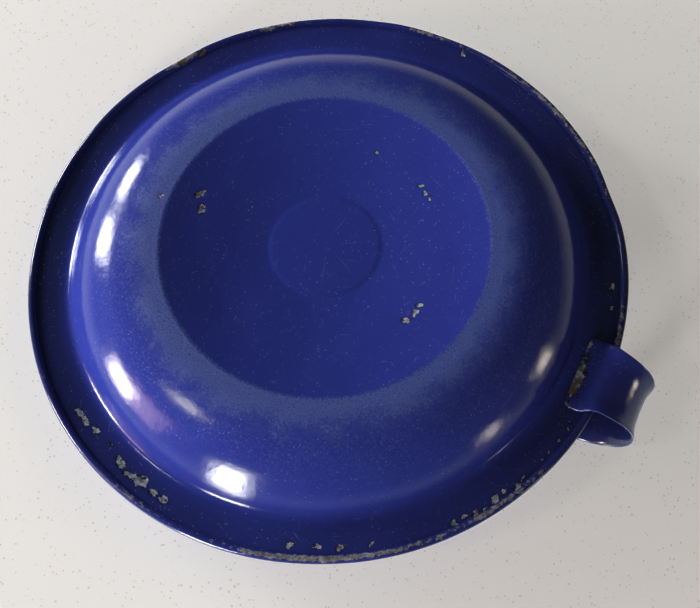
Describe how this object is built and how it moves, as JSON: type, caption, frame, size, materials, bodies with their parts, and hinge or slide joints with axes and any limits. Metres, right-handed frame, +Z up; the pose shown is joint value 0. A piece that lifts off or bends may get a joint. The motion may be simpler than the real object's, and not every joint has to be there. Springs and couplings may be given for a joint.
{
  "type": "chamberstick",
  "caption": "Enamelled steel chamberstick: a round pressed saucer with a rolled rim, a socket for a 22 mm candle and a strap finger loop.",
  "frame": {"origin": "centre of the flat resting ring under the dish, on the table plane", "axes": "+Z up along the dish's and the socket's common axis, +X towards the finger loop, +Y across it"},
  "size_m": [0.1765, 0.165, 0.0391],
  "materials": {
    "cobalt_enamel": "gloss"
  },
  "bodies": {
    "root": {"dish": "cobalt_enamel", "candle_socket": "cobalt_enamel", "finger_loop": "cobalt_enamel"}
  },
  "joints": []
}
